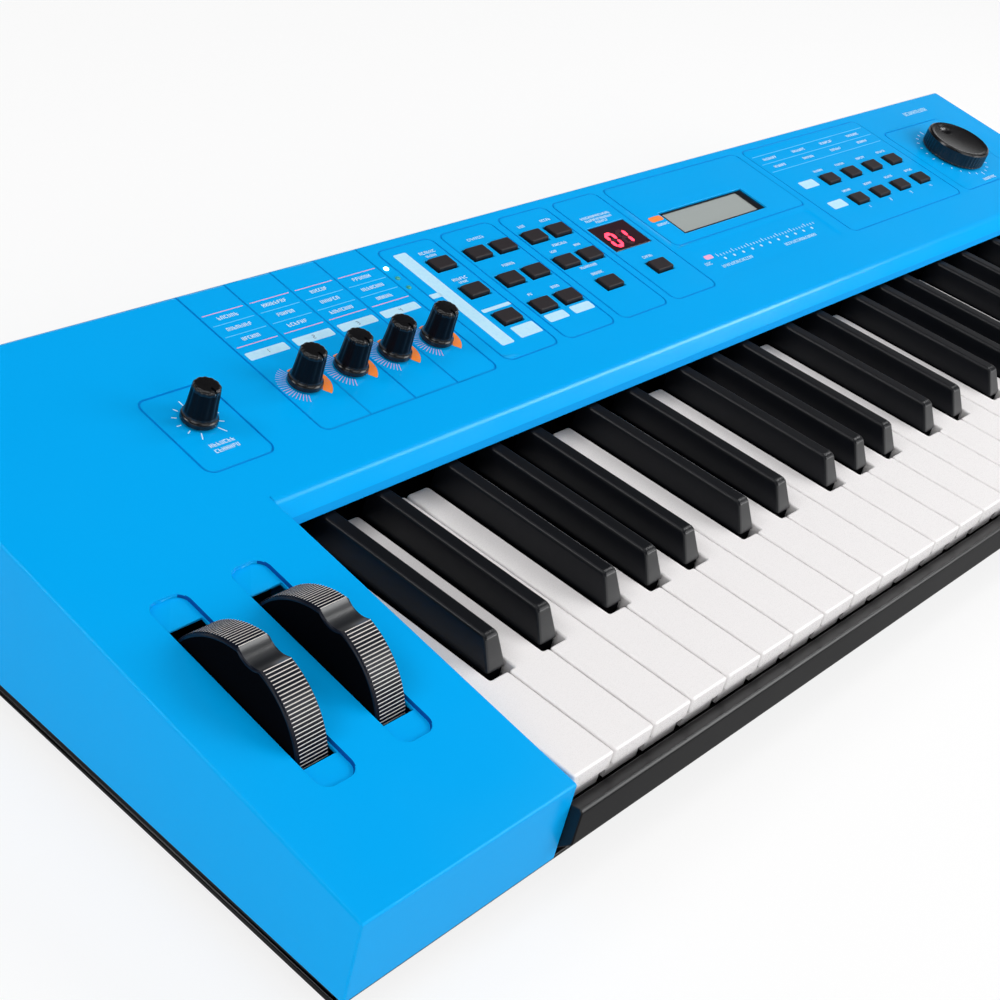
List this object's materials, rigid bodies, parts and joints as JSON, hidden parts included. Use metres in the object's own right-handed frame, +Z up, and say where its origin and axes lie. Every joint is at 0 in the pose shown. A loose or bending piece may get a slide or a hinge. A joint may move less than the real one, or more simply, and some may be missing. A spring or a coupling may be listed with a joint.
{
  "type": "synthesizer",
  "caption": "Compact keyboard synthesizer with full-size sprung keys, two thumb wheels, rotary knobs, push buttons and two display windows on a sloping panel.",
  "frame": {"origin": "on the table, under the middle of the case", "axes": "+X to the player's right along the keyboard, +Y from the player to the rear panel, +Z up"},
  "size_m": [0.825, 0.298, 0.0937],
  "materials": {
    "case_blue": "satin moulded plastic, bright sky blue",
    "tray_black": "fine matt moulded plastic",
    "frame_grey": "moulded glass-filled plastic",
    "circuit_board": "green solder mask",
    "steel": "zinc-plated sheet steel",
    "led_window": "smoked red acrylic",
    "lcd_panel": "grey reflective display behind clear acrylic",
    "key_white": "polished plastic",
    "key_black": "satin plastic",
    "button_black": "satin plastic",
    "knob_black": "satin plastic with a white pointer line",
    "wheel_black": "satin plastic with moulded ribs"
  },
  "bodies": {
    "case": {"top_case": "case_blue", "bottom_case": "tray_black", "key_frame": "frame_grey", "contact_board": "circuit_board", "wheel_bracket": "steel", "panel_board": "circuit_board", "main_board": "circuit_board", "jack_board": "circuit_board", "led_display": "led_window", "lcd_module": "lcd_panel"},
    "key_c1": {"key_c1": "key_white"},
    "key_c1_sharp": {"key_c1_sharp": "key_black"},
    "key_d1": {"key_d1": "key_white"},
    "key_d1_sharp": {"key_d1_sharp": "key_black"},
    "key_e1": {"key_e1": "key_white"},
    "key_f1": {"key_f1": "key_white"},
    "key_f1_sharp": {"key_f1_sharp": "key_black"},
    "key_g1": {"key_g1": "key_white"},
    "key_g1_sharp": {"key_g1_sharp": "key_black"},
    "key_a1": {"key_a1": "key_white"},
    "key_a1_sharp": {"key_a1_sharp": "key_black"},
    "key_b1": {"key_b1": "key_white"},
    "key_c2": {"key_c2": "key_white"},
    "key_c2_sharp": {"key_c2_sharp": "key_black"},
    "key_d2": {"key_d2": "key_white"},
    "key_d2_sharp": {"key_d2_sharp": "key_black"},
    "key_e2": {"key_e2": "key_white"},
    "key_f2": {"key_f2": "key_white"},
    "key_f2_sharp": {"key_f2_sharp": "key_black"},
    "key_g2": {"key_g2": "key_white"},
    "key_g2_sharp": {"key_g2_sharp": "key_black"},
    "key_a2": {"key_a2": "key_white"},
    "key_a2_sharp": {"key_a2_sharp": "key_black"},
    "key_b2": {"key_b2": "key_white"},
    "treble_white_keys": {"treble_white_keys": "key_white"},
    "treble_black_keys": {"treble_black_keys": "key_black"},
    "button_a1": {"button_a1": "button_black"},
    "button_a2": {"button_a2": "button_black"},
    "button_a3": {"button_a3": "button_black"},
    "button_a4": {"button_a4": "button_black"},
    "button_a5": {"button_a5": "button_black"},
    "button_b1": {"button_b1": "button_black"},
    "button_b2": {"button_b2": "button_black"},
    "button_b3": {"button_b3": "button_black"},
    "button_b4": {"button_b4": "button_black"},
    "button_b5": {"button_b5": "button_black"},
    "button_c1": {"button_c1": "button_black"},
    "button_c2": {"button_c2": "button_black"},
    "button_c3": {"button_c3": "button_black"},
    "button_c4": {"button_c4": "button_black"},
    "button_c5": {"button_c5": "button_black"},
    "right_button_strip": {"right_button_strip": "button_black"},
    "volume_knob": {"volume_knob": "knob_black"},
    "knob_a": {"knob_a": "knob_black"},
    "knob_b": {"knob_b": "knob_black"},
    "knob_c": {"knob_c": "knob_black"},
    "knob_d": {"knob_d": "knob_black"},
    "data_dial": {"data_dial": "knob_black"},
    "pitch_wheel": {"pitch_wheel": "wheel_black"},
    "modulation_wheel": {"modulation_wheel": "wheel_black"}
  },
  "joints": [
    {"name": "pitch_wheel_turn", "type": "hinge", "parent": "case", "child": "pitch_wheel", "pos_m": [-0.3792, -0.0524, 0.043], "axis": [1, 0, 0], "range_deg": [-25, 25], "stiffness_Nm_per_rad": 0.15},
    {"name": "modulation_wheel_turn", "type": "hinge", "parent": "case", "child": "modulation_wheel", "pos_m": [-0.3426, -0.0524, 0.043], "axis": [1, 0, 0], "range_deg": [-25, 25]},
    {"name": "data_dial_turn", "type": "hinge", "parent": "case", "child": "data_dial", "pos_m": [0.337, 0.076, 0.07638], "axis": [0, -0.1279, 0.9918], "continuous": true},
    {"name": "volume_knob_turn", "type": "hinge", "parent": "case", "child": "volume_knob", "pos_m": [-0.3055, 0.065, 0.07496], "axis": [0, -0.1279, 0.9918], "range_deg": [-145, 145]},
    {"name": "knob_a_turn", "type": "hinge", "parent": "case", "child": "knob_a", "pos_m": [-0.2487, 0.0656, 0.07504], "axis": [0, -0.1279, 0.9918], "range_deg": [-145, 145]},
    {"name": "knob_b_turn", "type": "hinge", "parent": "case", "child": "knob_b", "pos_m": [-0.2222, 0.0656, 0.07504], "axis": [0, -0.1279, 0.9918], "range_deg": [-145, 145]},
    {"name": "knob_c_turn", "type": "hinge", "parent": "case", "child": "knob_c", "pos_m": [-0.1957, 0.0656, 0.07504], "axis": [0, -0.1279, 0.9918], "range_deg": [-145, 145]},
    {"name": "knob_d_turn", "type": "hinge", "parent": "case", "child": "knob_d", "pos_m": [-0.169, 0.0656, 0.07504], "axis": [0, -0.1279, 0.9918], "range_deg": [-145, 145]},
    {"name": "treble_white_keys_press", "type": "hinge", "parent": "case", "child": "treble_white_keys", "pos_m": [-0.308, 0.059, 0.038], "axis": [1, 0, 0], "range_deg": [0, 2.8], "stiffness_Nm_per_rad": 0.9, "springref_deg": -4.01},
    {"name": "treble_black_keys_press", "type": "hinge", "parent": "case", "child": "treble_black_keys", "pos_m": [-0.308, 0.059, 0.038], "axis": [1, 0, 0], "range_deg": [0, 3.3], "stiffness_Nm_per_rad": 0.9, "springref_deg": -4.01},
    {"name": "switch_strip_press", "type": "slide", "parent": "case", "child": "right_button_strip", "axis": [0, 0.1279, -0.9918], "range_m": [0, 0.0012], "stiffness_N_per_m": 300, "springref_m": -0.0015},
    {"name": "switch_a1_press", "type": "slide", "parent": "case", "child": "button_a1", "axis": [0, 0.1279, -0.9918], "range_m": [0, 0.0012], "stiffness_N_per_m": 300, "springref_m": -0.0015},
    {"name": "switch_b3_press", "type": "slide", "parent": "case", "child": "button_b3", "axis": [0, 0.1279, -0.9918], "range_m": [0, 0.0012], "stiffness_N_per_m": 300, "springref_m": -0.0015},
    {"name": "switch_c5_press", "type": "slide", "parent": "case", "child": "button_c5", "axis": [0, 0.1279, -0.9918], "range_m": [0, 0.0012], "stiffness_N_per_m": 300, "springref_m": -0.0015},
    {"name": "key_c1_press", "type": "hinge", "parent": "case", "child": "key_c1", "pos_m": [-0.308, 0.059, 0.038], "axis": [1, 0, 0], "range_deg": [0, 2.8], "stiffness_Nm_per_rad": 0.9, "springref_deg": -4.01},
    {"name": "key_c1_sharp_press", "type": "hinge", "parent": "case", "child": "key_c1_sharp", "pos_m": [-0.308, 0.059, 0.038], "axis": [1, 0, 0], "range_deg": [0, 3.3], "stiffness_Nm_per_rad": 0.9, "springref_deg": -4.01},
    {"name": "key_d1_press", "type": "hinge", "parent": "case", "child": "key_d1", "pos_m": [-0.308, 0.059, 0.038], "axis": [1, 0, 0], "range_deg": [0, 2.8], "stiffness_Nm_per_rad": 0.9, "springref_deg": -4.01},
    {"name": "key_d1_sharp_press", "type": "hinge", "parent": "case", "child": "key_d1_sharp", "pos_m": [-0.308, 0.059, 0.038], "axis": [1, 0, 0], "range_deg": [0, 3.3], "stiffness_Nm_per_rad": 0.9, "springref_deg": -4.01},
    {"name": "key_e1_press", "type": "hinge", "parent": "case", "child": "key_e1", "pos_m": [-0.308, 0.059, 0.038], "axis": [1, 0, 0], "range_deg": [0, 2.8], "stiffness_Nm_per_rad": 0.9, "springref_deg": -4.01},
    {"name": "key_f1_press", "type": "hinge", "parent": "case", "child": "key_f1", "pos_m": [-0.308, 0.059, 0.038], "axis": [1, 0, 0], "range_deg": [0, 2.8], "stiffness_Nm_per_rad": 0.9, "springref_deg": -4.01},
    {"name": "key_f1_sharp_press", "type": "hinge", "parent": "case", "child": "key_f1_sharp", "pos_m": [-0.308, 0.059, 0.038], "axis": [1, 0, 0], "range_deg": [0, 3.3], "stiffness_Nm_per_rad": 0.9, "springref_deg": -4.01},
    {"name": "key_g1_press", "type": "hinge", "parent": "case", "child": "key_g1", "pos_m": [-0.308, 0.059, 0.038], "axis": [1, 0, 0], "range_deg": [0, 2.8], "stiffness_Nm_per_rad": 0.9, "springref_deg": -4.01},
    {"name": "key_g1_sharp_press", "type": "hinge", "parent": "case", "child": "key_g1_sharp", "pos_m": [-0.308, 0.059, 0.038], "axis": [1, 0, 0], "range_deg": [0, 3.3], "stiffness_Nm_per_rad": 0.9, "springref_deg": -4.01},
    {"name": "key_a1_press", "type": "hinge", "parent": "case", "child": "key_a1", "pos_m": [-0.308, 0.059, 0.038], "axis": [1, 0, 0], "range_deg": [0, 2.8], "stiffness_Nm_per_rad": 0.9, "springref_deg": -4.01},
    {"name": "key_a1_sharp_press", "type": "hinge", "parent": "case", "child": "key_a1_sharp", "pos_m": [-0.308, 0.059, 0.038], "axis": [1, 0, 0], "range_deg": [0, 3.3], "stiffness_Nm_per_rad": 0.9, "springref_deg": -4.01},
    {"name": "key_b1_press", "type": "hinge", "parent": "case", "child": "key_b1", "pos_m": [-0.308, 0.059, 0.038], "axis": [1, 0, 0], "range_deg": [0, 2.8], "stiffness_Nm_per_rad": 0.9, "springref_deg": -4.01},
    {"name": "key_c2_press", "type": "hinge", "parent": "case", "child": "key_c2", "pos_m": [-0.308, 0.059, 0.038], "axis": [1, 0, 0], "range_deg": [0, 2.8], "stiffness_Nm_per_rad": 0.9, "springref_deg": -4.01},
    {"name": "key_c2_sharp_press", "type": "hinge", "parent": "case", "child": "key_c2_sharp", "pos_m": [-0.308, 0.059, 0.038], "axis": [1, 0, 0], "range_deg": [0, 3.3], "stiffness_Nm_per_rad": 0.9, "springref_deg": -4.01},
    {"name": "key_d2_press", "type": "hinge", "parent": "case", "child": "key_d2", "pos_m": [-0.308, 0.059, 0.038], "axis": [1, 0, 0], "range_deg": [0, 2.8], "stiffness_Nm_per_rad": 0.9, "springref_deg": -4.01},
    {"name": "key_d2_sharp_press", "type": "hinge", "parent": "case", "child": "key_d2_sharp", "pos_m": [-0.308, 0.059, 0.038], "axis": [1, 0, 0], "range_deg": [0, 3.3], "stiffness_Nm_per_rad": 0.9, "springref_deg": -4.01},
    {"name": "key_e2_press", "type": "hinge", "parent": "case", "child": "key_e2", "pos_m": [-0.308, 0.059, 0.038], "axis": [1, 0, 0], "range_deg": [0, 2.8], "stiffness_Nm_per_rad": 0.9, "springref_deg": -4.01},
    {"name": "key_f2_press", "type": "hinge", "parent": "case", "child": "key_f2", "pos_m": [-0.308, 0.059, 0.038], "axis": [1, 0, 0], "range_deg": [0, 2.8], "stiffness_Nm_per_rad": 0.9, "springref_deg": -4.01},
    {"name": "key_f2_sharp_press", "type": "hinge", "parent": "case", "child": "key_f2_sharp", "pos_m": [-0.308, 0.059, 0.038], "axis": [1, 0, 0], "range_deg": [0, 3.3], "stiffness_Nm_per_rad": 0.9, "springref_deg": -4.01},
    {"name": "key_g2_press", "type": "hinge", "parent": "case", "child": "key_g2", "pos_m": [-0.308, 0.059, 0.038], "axis": [1, 0, 0], "range_deg": [0, 2.8], "stiffness_Nm_per_rad": 0.9, "springref_deg": -4.01},
    {"name": "key_g2_sharp_press", "type": "hinge", "parent": "case", "child": "key_g2_sharp", "pos_m": [-0.308, 0.059, 0.038], "axis": [1, 0, 0], "range_deg": [0, 3.3], "stiffness_Nm_per_rad": 0.9, "springref_deg": -4.01},
    {"name": "key_a2_press", "type": "hinge", "parent": "case", "child": "key_a2", "pos_m": [-0.308, 0.059, 0.038], "axis": [1, 0, 0], "range_deg": [0, 2.8], "stiffness_Nm_per_rad": 0.9, "springref_deg": -4.01},
    {"name": "key_a2_sharp_press", "type": "hinge", "parent": "case", "child": "key_a2_sharp", "pos_m": [-0.308, 0.059, 0.038], "axis": [1, 0, 0], "range_deg": [0, 3.3], "stiffness_Nm_per_rad": 0.9, "springref_deg": -4.01},
    {"name": "key_b2_press", "type": "hinge", "parent": "case", "child": "key_b2", "pos_m": [-0.308, 0.059, 0.038], "axis": [1, 0, 0], "range_deg": [0, 2.8], "stiffness_Nm_per_rad": 0.9, "springref_deg": -4.01},
    {"name": "switch_a2_press", "type": "slide", "parent": "case", "child": "button_a2", "axis": [0, 0.1279, -0.9918], "range_m": [0, 0.0012], "stiffness_N_per_m": 300, "springref_m": -0.0015},
    {"name": "switch_a3_press", "type": "slide", "parent": "case", "child": "button_a3", "axis": [0, 0.1279, -0.9918], "range_m": [0, 0.0012], "stiffness_N_per_m": 300, "springref_m": -0.0015},
    {"name": "switch_a4_press", "type": "slide", "parent": "case", "child": "button_a4", "axis": [0, 0.1279, -0.9918], "range_m": [0, 0.0012], "stiffness_N_per_m": 300, "springref_m": -0.0015},
    {"name": "switch_a5_press", "type": "slide", "parent": "case", "child": "button_a5", "axis": [0, 0.1279, -0.9918], "range_m": [0, 0.0012], "stiffness_N_per_m": 300, "springref_m": -0.0015},
    {"name": "switch_b1_press", "type": "slide", "parent": "case", "child": "button_b1", "axis": [0, 0.1279, -0.9918], "range_m": [0, 0.0012], "stiffness_N_per_m": 300, "springref_m": -0.0015},
    {"name": "switch_b2_press", "type": "slide", "parent": "case", "child": "button_b2", "axis": [0, 0.1279, -0.9918], "range_m": [0, 0.0012], "stiffness_N_per_m": 300, "springref_m": -0.0015},
    {"name": "switch_b4_press", "type": "slide", "parent": "case", "child": "button_b4", "axis": [0, 0.1279, -0.9918], "range_m": [0, 0.0012], "stiffness_N_per_m": 300, "springref_m": -0.0015},
    {"name": "switch_b5_press", "type": "slide", "parent": "case", "child": "button_b5", "axis": [0, 0.1279, -0.9918], "range_m": [0, 0.0012], "stiffness_N_per_m": 300, "springref_m": -0.0015},
    {"name": "switch_c1_press", "type": "slide", "parent": "case", "child": "button_c1", "axis": [0, 0.1279, -0.9918], "range_m": [0, 0.0012], "stiffness_N_per_m": 300, "springref_m": -0.0015},
    {"name": "switch_c2_press", "type": "slide", "parent": "case", "child": "button_c2", "axis": [0, 0.1279, -0.9918], "range_m": [0, 0.0012], "stiffness_N_per_m": 300, "springref_m": -0.0015},
    {"name": "switch_c3_press", "type": "slide", "parent": "case", "child": "button_c3", "axis": [0, 0.1279, -0.9918], "range_m": [0, 0.0012], "stiffness_N_per_m": 300, "springref_m": -0.0015},
    {"name": "switch_c4_press", "type": "slide", "parent": "case", "child": "button_c4", "axis": [0, 0.1279, -0.9918], "range_m": [0, 0.0012], "stiffness_N_per_m": 300, "springref_m": -0.0015}
  ]
}
